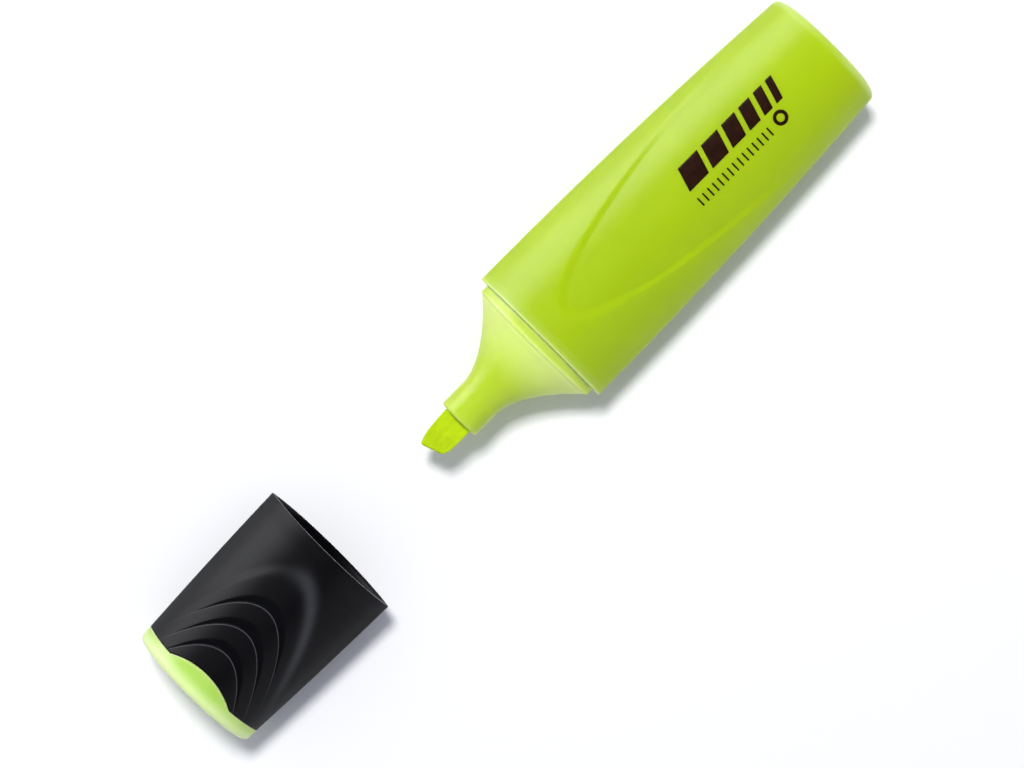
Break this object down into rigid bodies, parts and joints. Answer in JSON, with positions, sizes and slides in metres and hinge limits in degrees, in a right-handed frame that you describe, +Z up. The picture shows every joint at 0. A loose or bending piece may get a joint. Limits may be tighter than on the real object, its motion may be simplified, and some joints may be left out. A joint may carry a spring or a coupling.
{
  "type": "highlighter",
  "caption": "Flat highlighter pen with an oval translucent barrel, a flared neck, a chisel fibre nib and a pull-off cap with curved thumb grips.",
  "frame": {"origin": "on the surface the pen lies on, under the middle of the pen and its cap laid out in line", "axes": "+X along the pen from the cap towards the barrel's closed tail, +Y across the broad faces, +Z up through the printed broad face"},
  "size_m": [0.1536, 0.028, 0.017],
  "materials": {
    "barrel_plastic": "satin translucent yellow-green moulding",
    "front_plastic": "satin translucent yellow-green moulding, a little paler",
    "nib_fibre": "bonded polyester fibre soaked in fluorescent ink",
    "reservoir_fibre": "bonded fibre rod soaked in ink",
    "reservoir_film": "thin clear film",
    "cap_plastic": "black satin moulding with fine texture",
    "insert_plastic": "smooth translucent light green moulding",
    "seal_plastic": "natural white soft plastic",
    "print_ink": "thin dark brown-black printed ink film"
  },
  "bodies": {
    "pen": {"barrel": "barrel_plastic", "front_section": "front_plastic", "nib": "nib_fibre", "reservoir_core": "reservoir_fibre", "reservoir_sleeve": "reservoir_film"},
    "cap": {"cap_shell": "cap_plastic", "cap_end_insert": "insert_plastic", "cap_inner_seal": "seal_plastic"}
  },
  "joints": [
    {"name": "cap_slide", "type": "slide", "parent": "pen", "child": "cap", "axis": [1, 0, 0], "range_m": [0, 0.0505]}
  ]
}
